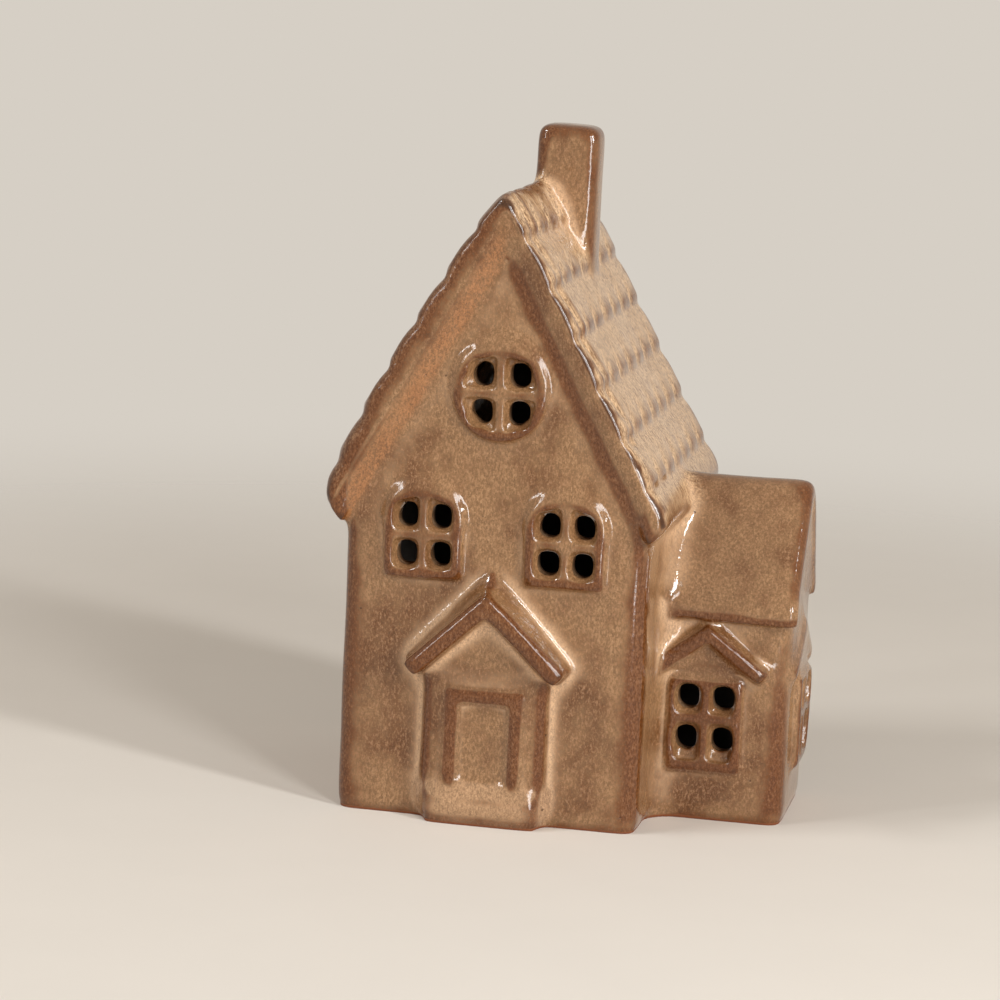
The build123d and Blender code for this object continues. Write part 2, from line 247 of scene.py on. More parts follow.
class StudioSettings(bpy.types.PropertyGroup):
    """Camera and light."""
    azimuth: angle("Azimuth", 11.54, "Camera to the right of the front")
    elevation: angle("Elevation", 9.99, "Camera above the middle of the house")
    roll: angle("Roll", 2.54, "Tilt of the camera")
    distance: length("Distance", 851.7, "Camera to the point it looks at")
    look_at: FloatVectorProperty(
        name="Look at", description="Middle of the picture, from the tealight's place",
        default=(-3.3 * MM, -20 * MM, 71.9 * MM), subtype="TRANSLATION")
    lens: FloatProperty(name="Lens", description="Focal length in millimetres", default=131.7)
    sensor: FloatProperty(name="Sensor", description="Width of the sensor in millimetres", default=36)
    floor: colour("Floor", "e6e0d7", "Pale paper floor")
    floor_reach: length("Floor reach", 600, "Where the floor has faded into the background")
    background: colour("Background", "d6cfc5", "Pale background")
    fill: colour("Fill", "ffeeda", "Warm light from all round")
    fill_strength: fraction("Fill strength", 0.28, "Strength of the light from all round")


def settings():
    return bpy.context.scene.tealight_house


def add(tree, kind, values=(), **attributes):
    """Adds a node: attributes first, then its inputs, given in order or by name or place.

    A socket is linked, a node is linked by its first output in use, and any other value is set.
    """
    node = tree.nodes.new(kind)
    for key, value in attributes.items():
        setattr(node, key, value)
    inputs = values if isinstance(values, dict) else dict(enumerate(values))
    for key, value in inputs.items():
        if isinstance(value, bpy.types.Node):
            value = next(output for output in value.outputs if output.enabled)
        if isinstance(value, bpy.types.NodeSocket):
            tree.links.new(value, node.inputs[key])
        else:
            node.inputs[key].default_value = value
    return node


def weighted(tree, start, *terms):
    """Sum of a start value and of each value times its weight."""
    total = start
    for value, weight in terms:
        total = add(tree, MATH, (value, weight, total), operation="MULTIPLY_ADD")
    return total


def per_metre(millimetres):
    """Texture scale that gives a pattern of this size on coordinates in metres."""
    return 1 / (millimetres * MM)


def new_material(name):
    """An empty material, its tree and its Object coordinates."""
    material = bpy.data.materials.new(name)
    material.use_nodes = True
    tree = material.node_tree
    tree.nodes.clear()
    return material, tree, add(tree, "ShaderNodeTexCoord").outputs["Object"]


def finish_surface(tree, values):
    shader = add(tree, "ShaderNodeBsdfPrincipled", values)
    add(tree, "ShaderNodeOutputMaterial", {"Surface": shader})


def to_mesh(name, body):
    """Mesh of a bmesh, which is freed."""
    mesh = bpy.data.meshes.new(name)
    body.to_mesh(mesh)
    body.free()
    return mesh


def temporary(name, mesh):
    obj = bpy.data.objects.new(name, mesh)
    bpy.context.scene.collection.objects.link(obj)
    return obj


def piece(name, mesh, material, body, node):
    """Links a finished mesh as the piece that stands for a CAD node."""
    obj = temporary(name, mesh)
    mesh.materials.clear()
    mesh.materials.append(material)
    mesh.shade_smooth()
    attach(obj, body)
    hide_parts(node)
    return obj


def evaluated_mesh(obj):
    """Plain mesh of an object with its modifiers, after which the object is gone."""
    graph = bpy.context.evaluated_depsgraph_get()
    mesh = bpy.data.meshes.new_from_object(obj.evaluated_get(graph))
    bpy.data.objects.remove(obj)
    return mesh


def new_tree(name, inputs):
    """Geometry Nodes tree with these named inputs beside geometry and material, and its inputs' sockets."""
    tree = bpy.data.node_groups.new(name, "GeometryNodeTree")
    inputs = (("Geometry", "Geometry"), *inputs, ("Material", "Material"))
    for label, kind in inputs:
        tree.interface.new_socket(label, in_out="INPUT", socket_type="NodeSocket" + kind)
    tree.interface.new_socket("Geometry", in_out="OUTPUT", socket_type="NodeSocketGeometry")
    return tree, add(tree, "NodeGroupInput").outputs


def end_tree(tree, geometry, material):
    """Makes all instances real, sets the material and closes the tree."""
    real = add(tree, "GeometryNodeRealizeInstances", {"Geometry": geometry})
    painted = add(tree, "GeometryNodeSetMaterial", {"Geometry": real, "Material": material})
    add(tree, "NodeGroupOutput", {"Geometry": painted})
    return tree


def grown(tree, values):
    """Plain mesh that a tree gives with these values of its named inputs."""
    name = tree.name + "_holder"
    holder = temporary(name, bpy.data.meshes.new(name))
    modifier = holder.modifiers.new(tree.name, "NODES")
    modifier.node_group = tree
    for item in tree.interface.items_tree:
        if item.item_type == "SOCKET" and item.in_out == "INPUT" and item.name in values:
            modifier[item.identifier] = values[item.name]
    return evaluated_mesh(holder)


def glaze_patterns(tree, spot):
    """The noises that the glaze is mottled with, by name."""
    patterns = SimpleNamespace()
    for name, (size, detail, rough, stretch, swirl) in GLAZE_PATTERNS.items():
        place = add(tree, "ShaderNodeMapping", {"Vector": spot, "Scale": stretch})
        values = {"Vector": place, "Scale": per_metre(size), "Detail": detail, "Roughness": rough,
                  "Distortion": swirl}
        setattr(patterns, name, add(tree, NOISE, values))
    return patterns


def iron_specks(tree, spot):
    """1 in round specks of different sizes, in two of five cells about 4.5 mm wide."""
    spacing = per_metre(4.5)
    cells = add(tree, "ShaderNodeTexVoronoi", {"Vector": spot, "Scale": spacing, "Randomness": 1.0})
    chosen = add(tree, "ShaderNodeSeparateColor", {0: cells.outputs["Color"]})
    size = add(tree, RANGE, (chosen, 0.6, 1.0, 0.0, 0.09))
    depth = add(tree, MATH, (size, cells.outputs["Distance"]), operation="SUBTRACT")
    return add(tree, RANGE, (depth, 0.0, 0.03), **SMOOTH)


def glaze_layers(tree, place, pattern, height):
    """Share and colour of each layer of the glaze over its taupe ground, from the lowest up."""
    c = settings().glaze
    grain = pattern.grain
    uneven = weighted(tree, -1.2, (pattern.patch, 0.7), (grain, 1.1), (pattern.fine_grain, 0.6))

    # Thinner glaze is warmer in wide patches, and fine crystals grow all over.
    warmth = weighted(tree, -0.4, (pattern.cloud, 1.0), (pattern.patch, 1.0), (grain, 0.8))
    warm = add(tree, RANGE, (warmth, 0.85, 1.25), **SMOOTH)
    crystals = add(tree, RANGE, (grain, 0.42, 0.75, 0.0, 0.5), **SMOOTH)

    # It runs down the roof in pale streaks.
    streaked = weighted(tree, -0.25, (pattern.streak, 1.0), (grain, 0.5))
    streaks = add(tree, RANGE, (streaked, 0.3, 0.6), **SMOOTH)
    runs = add(tree, MATH, (streaks, place.roof), operation="MULTIPLY")

    # It gathers pale in hollows, less so by windows, in the door's frame and under the wing's eave, where the
    # darker glaze is painted shade, and evenly on the door step.
    hollow = weighted(
        tree, place.flow, (place.band, 0.6), (uneven, 0.5), (place.calm, 0.4), (place.window, 0.25))
    hollow = add(tree, MIX, {0: place.step, 2: hollow, 3: -0.4}, data_type="FLOAT")
    pooled = add(tree, RANGE, (hollow, -0.1, -0.75, 0.0, 0.9), **SMOOTH)

    # It turned orange along the left front edge of the roof; along the right edge, shade and light are
    # painted instead.
    ragged_band = add(tree, RANGE, (uneven, -0.5, 0.2, 0.0, 0.8), **SMOOTH)
    rust = add(tree, MATH, (place.band, ragged_band), operation="MULTIPLY")

    # It breaks brown over edges: over wide swells away from the windows, and over fine edges, at the
    # windows most of all.
    swell_weight = add(tree, RANGE, (place.window, 0.0, 1.0, 1.2, 0.0), **SMOOTH)
    edge_weight = add(tree, RANGE, (place.window, 0.0, 1.0, 0.8, 1.45), **SMOOTH)
    swell = add(tree, MATH, (place.flow, 0.55), operation="MINIMUM")
    ridge = add(tree, MATH, (swell, swell_weight), operation="MULTIPLY")
    sharp = add(tree, MATH, (place.edge, edge_weight), operation="MULTIPLY")
    bead = add(tree, RANGE, (height, c.bead_height, c.bead_full), **SMOOTH)
    low = add(tree, MATH, (place.step, bead), operation="MAXIMUM")
    # The glaze run attribute also adds painted shade in the right-hand cove and along the wing eave's lower
    # edge, and painted light on the right-hand roll and the eave's top.
    thin = weighted(
        tree, uneven, (sharp, 1.0), (ridge, 1.0), (low, -0.6), (place.band, -0.35), (place.run, 0.9))
    broken = add(tree, RANGE, (thin, 0.12, 0.7), **SMOOTH)
    pinholes = add(tree, RANGE, (grain, 0.35, 0.7, 1.0, 0.65), **SMOOTH)
    breaking_and_painted_shade = add(tree, MATH, (broken, pinholes), operation="MULTIPLY")

    # The sharpest edges are nearly bare, and so are the lower lips of the tiles.
    bare = add(tree, RANGE, (weighted(tree, place.edge, (uneven, 0.6)), 0.7, 1.25, 0.0, 0.85), **SMOOTH)
    ragged_lip = add(tree, RANGE, (uneven, -0.6, -0.1, 0.0, 0.9), **SMOOTH)
    lips = add(tree, MATH, (place.lip, ragged_lip), operation="MULTIPLY")
    return ((warm, c.russet), (crystals, c.crystals), (runs, c.runs), (pooled, c.pooled), (rust, c.rust),
            (breaking_and_painted_shade, c.breaking_and_painted_shade), (bare, c.bare_edge), (lips, c.breaking_and_painted_shade))


def layered(tree, ground, layers):
    """Colour of layers, each a share and a colour, over a ground."""
    for share, tint in layers:
        ground = add(tree, MIX, {0: share, 6: ground, 7: tint}, **COLOURS)
    return ground


# Glazed stoneware: slip-cast, one reactive glaze. It lies taupe on flats, pools pale in hollows, breaks
# orange-brown over edges, runs in fine streaks down the roof and shines like glass.
def glazed_stoneware():
    c = settings().glaze
    material, tree, spot = new_material("glazed_stoneware")
    place = SimpleNamespace()
    for name in GLAZE_PLACES:
        setattr(place, name, add(tree, "ShaderNodeAttribute", attribute_name=name).outputs["Fac"])
    pattern = glaze_patterns(tree, spot)
    height = add(tree, "ShaderNodeSeparateXYZ", {0: spot}).outputs["Z"]

    glaze = layered(tree, c.taupe, glaze_layers(tree, place, pattern, height))
    grains = add(tree, RANGE, (pattern.grain, 0.3, 0.7, 0.73, 1.26), **SMOOTH)
    mottle = weighted(tree, -0.45, (grains, 1.0), (pattern.fine_grain, 0.9))
    glaze = add(tree, MIX, {0: 1.0, 6: glaze, 7: mottle}, blend_type="MULTIPLY", **COLOURS)
    speck = iron_specks(tree, spot)
    faint_speck = add(tree, MATH, (speck, 0.75), operation="MULTIPLY")
    foot_edge = weighted(tree, height, (pattern.cloud, -c.foot_waver))
    foot = add(tree, RANGE, (foot_edge, c.foot_height, 0.0), **SMOOTH)
    # Over it iron specks, painted shade on the inner walls, and bare clay at the foot.
    glaze = layered(tree, glaze, ((faint_speck, c.specks), (place.inside, c.inside), (foot, c.clay)))

    dull = add(tree, MATH, (foot, place.inside), operation="MAXIMUM")
    gloss = add(tree, RANGE, (pattern.cloud, 0.3, 0.7, 0.06, 0.13), **SMOOTH)
    rough = add(tree, MIX, {0: dull, 2: weighted(tree, gloss, (place.roof, 0.16)), 3: 0.7}, data_type="FLOAT")
    peel = weighted(tree, pattern.ripple, (pattern.pitting, 0.35), (speck, -0.5))
    bump = add(tree, "ShaderNodeBump", {"Height": peel, "Strength": 0.4, "Distance": c.relief})
    finish_surface(tree, {"Base Color": glaze, "Roughness": rough, "IOR": 1.55, "Normal": bump})
    return material


# Drawn aluminium: thin bright foil-like sheet, faintly streaked round the wall by the drawing die.
def drawn_aluminium():
    material, tree, spot = new_material("drawn_aluminium")
    die_lines = per_metre(0.5)
    flat = add(tree, "ShaderNodeMapping", {"Vector": spot, "Scale": (0.1, 0.1, 1.0)})
    lines = add(tree, NOISE, {"Vector": flat, "Scale": die_lines, "Detail": 3.0})
    shade = add(tree, MIX, {0: lines, 6: to_linear("c9c9cb"), 7: to_linear("e2e2e3")}, **COLOURS)
    rough = add(tree, RANGE, {0: lines, 3: 0.24, 4: 0.4})
    bump = add(tree, "ShaderNodeBump", {"Height": lines, "Strength": 0.15, "Distance": 0.05 * MM})
    finish_surface(tree, {"Base Color": shade, "Roughness": rough, "Metallic": 1.0, "Normal": bump})
    return material


# Paraffin wax: poured white, waxy half gloss, cloudy with fine crystals, light creeps into it.
def paraffin_wax():
    material, tree, spot = new_material("paraffin_wax")
    cloud_size = per_metre(4)
    crystal_size = per_metre(0.9)
    cloud = add(tree, NOISE, {"Vector": spot, "Scale": cloud_size, "Detail": 4.0})
    crystals = add(tree, "ShaderNodeTexVoronoi", {"Vector": spot, "Scale": crystal_size}).outputs["Distance"]
    shade = add(tree, MIX, {0: cloud, 6: to_linear("efe8d8"), 7: to_linear("f7f3ea")}, **COLOURS)
    rough = add(tree, RANGE, {0: cloud, 3: 0.32, 4: 0.5})
    bump = add(tree, "ShaderNodeBump", {"Height": crystals, "Strength": 0.2, "Distance": 0.08 * MM})
    finish_surface(tree, {"Base Color": shade, "Roughness": rough, "IOR": 1.44, "Subsurface Weight": 0.3,
                          "Subsurface Radius": (2.0, 1.6, 1.2), "Subsurface Scale": 1 * MM, "Normal": bump})
    return material


# Cotton wick: off-white braid stiffened with wax, fine fibres along the strands.
def cotton_wick():
    material, tree, spot = new_material("cotton_wick")
    fibre_size = per_metre(0.35)
    fibre = add(tree, NOISE, {"Vector": spot, "Scale": fibre_size, "Detail": 3.0})
    shade = add(tree, MIX, {0: fibre, 6: to_linear("cfc3a6"), 7: to_linear("ece4d0")}, **COLOURS)
    bump = add(tree, "ShaderNodeBump", {"Height": fibre, "Strength": 0.4, "Distance": 0.05 * MM})
    finish_surface(tree, {"Base Color": shade, "Roughness": 0.62, "Normal": bump})
    return material


# Tinned steel: pressed tab, grey and bright with cloudy tin.
def tinned_steel():
    material, tree, spot = new_material("tinned_steel")
    cloud_size = per_metre(1.5)
    cloud = add(tree, NOISE, {"Vector": spot, "Scale": cloud_size, "Detail": 4.0})
    shade = add(tree, MIX, {0: cloud, 6: to_linear("a9a9a8"), 7: to_linear("cfcfcd")}, **COLOURS)
    rough = add(tree, RANGE, {0: cloud, 3: 0.25, 4: 0.45})
    finish_surface(tree, {"Base Color": shade, "Roughness": rough, "Metallic": 1.0})
    return material


def roof_middle():
    """Plan middle of the main roof: on the tealight's axis, half the tiles' length before the back end."""
    low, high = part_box("tealight_cup")
    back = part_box("house_shell")[1].y
    s = settings().sizes
    return (low.x + high.x) / 2, back - s.tile_margin - s.tiles * s.tile_pitch / 2


def tile_tree():
    """Geometry Nodes: rows of soft tiles on both slopes of the roof, the left ones bowed outwards."""
    tree, given = new_tree("roof_tiles", (
        ("Course pitch", "Float"), ("Tile pitch", "Float"), ("Courses", "Int"), ("Tiles", "Int"),
        ("Tile size", "Vector"), ("Tilt", "Vector"), ("Lean", "Vector"), ("Place", "Vector"),
        ("Middle", "Vector"), ("Eave height", "Float"), ("Ridge height", "Float"), ("Bow", "Vector")))

    def span(count, pitch):
        steps = add(tree, MATH, (given[count], 1.0), operation="SUBTRACT")
        return add(tree, MATH, (steps, given[pitch]), operation="MULTIPLY")

    grid = add(tree, "GeometryNodeMeshGrid", {
        "Size X": span("Courses", "Course pitch"), "Size Y": span("Tiles", "Tile pitch"),
        "Vertices X": given["Courses"], "Vertices Y": given["Tiles"]})
    block = add(tree, "GeometryNodeMeshCube", {"Size": given["Tile size"], "Vertices X": 4, "Vertices Y": 4})
    tile = add(tree, "GeometryNodeSubdivisionSurface", {"Mesh": block, "Level": 1})
    rows = add(tree, "GeometryNodeInstanceOnPoints", {
        "Points": grid, "Instance": tile, "Rotation": given["Tilt"]})
    right = add(tree, "GeometryNodeTransform", {
        "Geometry": rows, "Translation": given["Place"], "Rotation": given["Lean"]})
    left = add(tree, "GeometryNodeTransform", {"Geometry": right, "Rotation": (0, 0, math.pi)})
    solid_left = add(tree, "GeometryNodeRealizeInstances", {"Geometry": left})

    place = add(tree, "ShaderNodeSeparateXYZ", {0: add(tree, "GeometryNodeInputPosition")})
    reach = add(tree, RANGE, (place.outputs["Z"], given["Eave height"], given["Ridge height"], -1.0, 1.0))
    square = add(tree, MATH, (reach, reach), operation="MULTIPLY")
    rest = add(tree, MATH, (1.0, square), operation="SUBTRACT")
    share = add(tree, MATH, (rest,), operation="SQRT")
    offset = add(tree, "ShaderNodeVectorMath", {0: given["Bow"], "Scale": share}, operation="SCALE")
    bowed = add(tree, "GeometryNodeSetPosition", {"Geometry": solid_left, "Offset": offset})
    both = add(tree, "GeometryNodeJoinGeometry", {"Geometry": right})
    tree.links.new(bowed.outputs[0], both.inputs[0])
    placed = add(tree, "GeometryNodeTransform", {"Geometry": both, "Translation": given["Middle"]})
    return end_tree(tree, placed, given["Material"])


def roof_tiles(material):
    """Mesh of all separate tiles."""
    s = settings().sizes
    x, y = roof_middle()
    sine, cosine = math.sin(s.roof_pitch), math.cos(s.roof_pitch)
    along = s.lowest_course + s.courses * s.course_pitch / 2 - s.tile_lap / 2
    inset = s.tile_thick / 2 - s.tile_lift
    out = s.eave_half_width - along * cosine - inset * sine
    up = s.eave_height + along * sine - inset * cosine
    return grown(tile_tree(), {
        "Course pitch": s.course_pitch, "Tile pitch": s.tile_pitch, "Courses": s.courses, "Tiles": s.tiles,
        "Tile size": (s.course_pitch - s.tile_lap, s.tile_pitch - s.tile_gap, s.tile_thick),
        "Tilt": (0, -s.tile_tilt, 0), "Lean": (0, s.roof_pitch, 0),
        "Place": (out, 0, up), "Middle": (x, y, 0), "Eave height": s.eave_height,
        "Ridge height": s.eave_height + s.eave_half_width * math.tan(s.roof_pitch),
        "Bow": (-s.left_bow * sine, 0, s.left_bow * cosine), "Material": material,
    })


class Relaxer:
    """Averages values over the neighbours of each vertex of a mesh."""

    def __init__(self, mesh):
        self.count = len(mesh.vertices)
        pairs = np.empty(len(mesh.edges) * 2, dtype=np.int32)
        mesh.edges.foreach_get("vertices", pairs)
        self.pairs = pairs.reshape(-1, 2)
        self.degree = np.maximum(np.bincount(pairs, minlength=self.count), 1)

    def mean(self, column):
        a, b = self.pairs[:, 0], self.pairs[:, 1]
        total = np.bincount(a, column[b], self.count) + np.bincount(b, column[a], self.count)
        return total / self.degree

    def relax(self, points, spread, step):
        """Diffuses points until details finer than spread are gone; step is the mesh's own spacing."""
        share = 0.8
        rounds = max(1, round(2 * (spread / step) ** 2 / share))
        moved = points.copy()
        for _ in range(rounds):
            for axis in range(points.shape[1]):
                moved[:, axis] += share * (self.mean(moved[:, axis]) - moved[:, axis])
        return moved


def coordinates(mesh):
    flat = np.empty(len(mesh.vertices) * 3)
    mesh.vertices.foreach_get("co", flat)
    return flat.reshape(-1, 3)


def normals(mesh):
    flat = np.empty(len(mesh.vertices) * 3)
    mesh.vertex_normals.foreach_get("vector", flat)
    return flat.reshape(-1, 3)


def move_to(mesh, points):
    mesh.vertices.foreach_set("co", points.ravel())
    mesh.update()


def between(values, low, high):
    return (values > low) & (values < high)


def moulded_body(tiles):
    """House and tiles run together into one skin of even grain."""
    s = settings().sizes
    body = bmesh.new()
    body.from_mesh(frame["nodes"]["house_shell"].data)
    body.from_mesh(tiles)
    bmesh.ops.remove_doubles(body, verts=body.verts, dist=s.weld)
    holder = temporary("house_holder", to_mesh("house", body))
    remesh = holder.modifiers.new("skin", "REMESH")
    remesh.mode = "VOXEL"
    remesh.voxel_size = s.voxel
    return evaluated_mesh(holder)


def front_wall():
    """Depth of the front wall's face."""
    s = settings().sizes
    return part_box("house_shell")[1].y - s.verge - s.house_depth


def on_front(points):
    """True on the front wall's face and before it."""
    return points[:, 1] < front_wall() + 0.1 * settings().sizes.wall


def roof_inset(points):
    """How far each point lies below the tile line, at right angles to the slope."""
    s = settings().sizes
    x = np.abs(points[:, 0] - roof_middle()[0])
    slope = s.eave_height + (s.eave_half_width - x) * math.tan(s.roof_pitch)
    return (slope - points[:, 2]) * math.cos(s.roof_pitch)


def cove_share(points):
    """0 at the barge band, 1 where the hollow slope under it meets the wall, below 0 on the tiles."""
    s = settings().sizes
    return (roof_inset(points) - s.tile_depth) / s.cove_width


def coved(points, facing):
    """Rounds the roof's front edge into a roll and runs it down to the gable wall in one hollow slope."""
    s = settings().sizes
    hollow_power = 1.6
    roll_share = 0.3
    below = roof_inset(points) - s.tile_depth
    out = front_wall() - points[:, 1]
    across = np.clip(below / s.cove_width, 0, 1)
    above = np.clip(-below / (s.tile_depth + s.left_bow), 0, 1)
    target = s.verge * np.where(below > 0, (1 - across) ** hollow_power, 1 - roll_share * above ** 2)
    over_wall = np.abs(points[:, 0] - roof_middle()[0]) < s.eave_half_width - 2 * s.wall + s.verge
    not_backward = facing[:, 1] < 0.3
    forward = facing[:, 1] < -0.5
    front = (out > -s.wall / 2) & not_backward & over_wall
    band = front & (below > 0) & (across < ROLL_END)
    wall = front & (across >= ROLL_END) & (across < 1) & (out < target)
    tile_ends = (below <= 0) & (out > 0.2 * s.verge) & forward
    shaped = band | wall | tile_ends
    moved = points.copy()
    moved[shaped, 1] = front_wall() - target[shaped]
    return moved


def pane_walls(points, facing):
    """True on the sides of the pierced panes, the only faces here that cross the walls' thickness."""
    s = settings().sizes
    x, y, z = points.T
    middle = roof_middle()[0]
    front = front_wall()
    back = front + s.wing_setback
    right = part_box("house_shell")[1].x - s.frame_proud
    skin = 0.2 * s.wall
    across_front = np.abs(facing[:, 1]) < 0.5
    across_end = np.abs(facing[:, 0]) < 0.5
    wing_windows = between(z, 2 * s.wall, s.eave_height / 2)
    main = across_front & between(y, front + skin, front + s.wall - skin) & (z > s.eave_height / 2)
    main &= np.abs(x - middle) < s.eave_half_width - 2 * s.wall
    wing = across_front & between(y, back + skin, back + s.wall - skin) & wing_windows
    wing &= between(x, middle + s.eave_half_width, right - s.wall - skin)
    end = across_end & between(x, right - s.wall + skin, right - skin) & wing_windows
    end &= between(y, back + s.wall + skin, front + s.house_depth / 2 + 2 * s.wall)
    return main | wing | end


def round_frames():
    """Middle of each round or arched window, reach of its panes, and their straight drop below it."""
    s = settings().sizes
    middle = roof_middle()[0]
    arches = [(middle + side * s.arch_offset, s.arch_spring, s.arch_reach, s.arch_drop) for side in (-1, 1)]
    return [(middle, s.round_height, s.round_reach, 0), *arches]


def hand_cut(points, facing, panes):
    """Opens the panes, each by its own amount, and rounds their outer corners to follow round frames."""
    s = settings().sizes
    moved = points.copy()
    for i in np.flatnonzero(panes):
        uneven = noise.noise(Vector(points[i]) * PANE_WAVES)
        moved[i] -= facing[i] * s.pane_growth * (1 + PANE_SPREAD * uneven)
    for x, z, reach, drop in round_frames():
        across, up = moved[:, 0] - x, moved[:, 2] - z
        span = np.hypot(across, up)
        outside = panes & between(span, reach, 2 * reach) & ((up > 0) | (drop == 0))
        moved[outside, 0] = x + across[outside] * reach / span[outside]
        moved[outside, 2] = z + up[outside] * reach / span[outside]
    return moved


def distance(points, marked):
    """Distance of each point from the nearest marked one."""
    tree = KDTree(int(marked.sum()))
    for i in np.flatnonzero(marked):
        tree.insert(points[i], int(i))
    tree.balance()
    return np.array([tree.find(p)[2] for p in points])


def door_step(points):
    """True on the door step, which the glaze hides under one soft swell."""
    s = settings().sizes
    near = np.abs(points[:, 0] - roof_middle()[0]) < s.step_half_width
    return near & (points[:, 1] < front_wall()) & (points[:, 2] < s.step_height)


def barge_band(points):
    """True on an orange streak along the left half of the hollow slope under the roof's front edge; the right
    half gets painted shade instead.
    """
    left = points[:, 0] < roof_middle()[0]
    return left & on_front(points) & between(cove_share(points), 0.1, ROLL_END)


def brows(points):
    """True on the swells over the round and arched windows."""
    s = settings().sizes
    found = np.zeros(len(points), dtype=bool)
    for x, z, reach, _ in round_frames():
        beyond_frame = np.hypot(points[:, 0] - x, points[:, 2] - z) - reach - s.frame_band
        found |= between(beyond_frame, 0, s.brow_reach) & (points[:, 2] > z)
    return found & on_front(points)


def window_bars(points):
    """True inside the frames of the round and arched windows."""
    found = np.zeros(len(points), dtype=bool)
    for x, z, reach, drop in round_frames():
        across, up = points[:, 0] - x, points[:, 2] - z
        found |= (np.hypot(across, np.maximum(up, 0) if drop else up) < reach) & (up > -max(drop, reach))
    return found & on_front(points)


def wing_eave(points):
    """True along the wing's front eave, which keeps a crisp lower edge."""
    s = settings().sizes
    beside = points[:, 0] > roof_middle()[0] + s.eave_half_width
    before = points[:, 1] < front_wall() + s.wing_setback + 0.2 * s.wall
    lower_edge = s.wing_eave_height - s.wing_roof_depth
    return beside & before & (np.abs(points[:, 2] - lower_edge) < 2 * s.wing_roof_depth)


def glaze_run_and_painted_light(points):
    """How much browner (above 0) or paler (below 0) the glaze is: paler where it stayed thick on brows, bars
    and chimney, browner on the left rim of the roof, painted shade in the right-hand cove and along the wing
    eave's lower edge, and painted light on the right-hand roll and the eave's top.
    """
    s = settings().sizes
    middle = roof_middle()[0]
    across = cove_share(points)
    front = on_front(points)
    right = front & (points[:, 0] > middle)
    # Painted shade in the right-hand cove, and painted light on the roll of the right-hand edge; the left
    # cove keeps its orange band.
    painted_shade_groove = right & between(across, 0.35, 0.85)
    roll = right & between(across, -0.3, 0.25)
    left_rim = front & ~right & between(across, -1, -0.3)
    # Painted light along the top of the wing's eave and painted shade along its lower edge.
    up = (points[:, 2] - s.wing_eave_height) / s.wing_roof_depth + 1
    eave = wing_eave(points)
    painted_light_eave_top = eave & between(up, 0.55, 1.4)
    painted_shade_eave_edge = eave & between(up, -0.3, 0.4)
    chimney = (points[:, 0] > middle + s.chimney_left / 2) & (roof_inset(points) < -s.tile_thick)
    # Paler: on the brows, and as painted light on the right-hand roll and the eave's top. Browner: the left
    # rim, and as painted shade in the right-hand cove and along the eave's lower edge.
    thick = roll | painted_light_eave_top | (brows(points) & (across > 1))
    thin = painted_shade_groove + 0.7 * left_rim + painted_shade_eave_edge
    return thin - thick - 0.5 * (chimney | window_bars(points))


def calm_and_painted_shade_places(points):
    """True where hollows fill less: in the door's frame, where the glaze lies even, and under the wing's
    eave, where the darker glaze is painted shade.
    """
    s = settings().sizes
    door = (np.abs(points[:, 0] - roof_middle()[0]) < s.door_half_width) & (points[:, 2] < s.door_height)
    door &= points[:, 1] < front_wall()
    return door | wing_eave(points) & (points[:, 2] < s.wing_eave_height - s.wing_roof_depth)


def inside_share(points):
    """True on the walls of the rooms, which are painted dark as shade, from the boxes of air stated for the
    solid.
    """
    skin = settings().sizes.room_skin
    found = np.zeros(len(points), dtype=bool)
    for room in frame["record"]["physics"]["openings"]:
        low, high = np.array(room["box_m"])
        if "mouth" not in room["name"]:
            found |= between(points, low - skin, high + skin).all(1)
    return found


def roof_share(points, facing):
    """True on the tiled slopes."""
    s = settings().sizes
    bow = np.where(points[:, 0] < roof_middle()[0], s.left_bow, 0)
    near = between(-roof_inset(points), -s.tile_reach, s.tile_reach + bow)
    return near & (facing[:, 2] > 0.2) & (points[:, 2] > s.eave_height)


def tile_lips(points):
    """True along the lower edges of the tiles, except between neighbours."""
    s = settings().sizes
    lip_share = 0.12
    half_tile_share = 0.4
    along = (points[:, 2] - s.eave_height) / math.sin(s.roof_pitch) - s.lowest_course
    across = ((points[:, 1] - roof_middle()[1]) / s.tile_pitch + s.tiles / 2) % 1
    lip = (along / s.course_pitch % 1 < lip_share) & (along > -s.voxel)
    return lip & (np.abs(across - 0.5) < half_tile_share)


